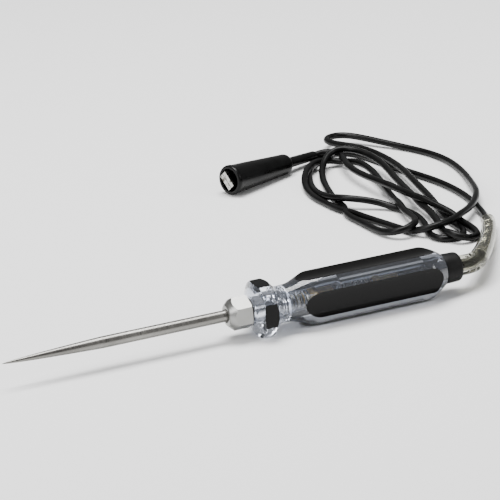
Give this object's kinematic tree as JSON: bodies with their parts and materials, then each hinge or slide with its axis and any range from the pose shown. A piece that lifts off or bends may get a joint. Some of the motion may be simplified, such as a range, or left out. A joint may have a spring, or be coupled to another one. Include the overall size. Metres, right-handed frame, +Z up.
{
  "type": "circuit test light",
  "caption": "Pointed steel probe on a clear fluted handle with a bulb inside, and a looped black lead that ends in an alligator clip in a soft boot.",
  "frame": {"origin": "centre of the tool's own bounding box, on the plane it rests on", "axes": "+X along the tool from the probe's tip to the end cap, +Z up"},
  "size_m": [0.273, 0.2217, 0.0214],
  "materials": {
    "probe_steel": "satin grey steel",
    "nickel_plate": "satin nickel plate",
    "black_rubber": "matte black",
    "clear_plastic": "clear, faintly blue, glossy",
    "bulb_glass": "clear, slightly yellow",
    "brass": "satin",
    "dark_insulator": "matte",
    "solder": "satin",
    "spring_steel": "bright drawn wire",
    "lead_vinyl": "satin black vinyl",
    "black_plastic": "matte black",
    "grey_vinyl": "translucent grey, satin",
    "lead_loops": "satin black vinyl",
    "boot_vinyl": "satin black vinyl",
    "clip_nickel": "bright nickel plate"
  },
  "bodies": {
    "handle": {"nose_gasket": "black_rubber", "handle_shell": "clear_plastic", "bulb_glass": "bulb_glass", "bulb_base": "brass", "bulb_insulator": "dark_insulator", "bulb_contact": "solder", "front_contact_spring": "spring_steel", "lamp_spring": "spring_steel", "lead_terminal": "brass", "lead_in_handle": "lead_vinyl", "end_cap": "black_plastic", "relief_sleeve": "grey_vinyl", "relief_spring": "spring_steel", "lead_front": "lead_vinyl", "lead_loops": "lead_loops", "clip_boot": "boot_vinyl", "lead_in_boot": "lead_vinyl", "lead_crimp": "clip_nickel", "clip_lower_jaw": "clip_nickel", "clip_pivot_pin": "clip_nickel", "clip_spring": "spring_steel"},
    "nose": {"probe": "probe_steel"},
    "nut": {"nose_nut": "nickel_plate"},
    "upper_jaw": {"clip_upper_jaw": "clip_nickel"}
  },
  "joints": [
    {"name": "nose_slide", "type": "slide", "parent": "handle", "child": "nose", "axis": [-1, 0, 0], "range_m": [0, 0.00999]},
    {"name": "nose_nut_turn", "type": "hinge", "parent": "nose", "child": "nut", "pos_m": [-0.0015, 0, 0.0107], "axis": [-1, 0, 0], "range_deg": [0, 2880]},
    {"name": "clip_jaw", "type": "hinge", "parent": "handle", "child": "upper_jaw", "pos_m": [0.08425, 0.17221, 0.00616], "axis": [-0.2218, 0.6599, 0.7178], "range_deg": [0, 3.5], "stiffness_Nm_per_rad": 0.02, "springref_deg": -4.58}
  ],
  "couplings": [
    {"joint": "nose_nut_turn", "follows": "nose_slide", "rad_per_m": 5026.5}
  ]
}
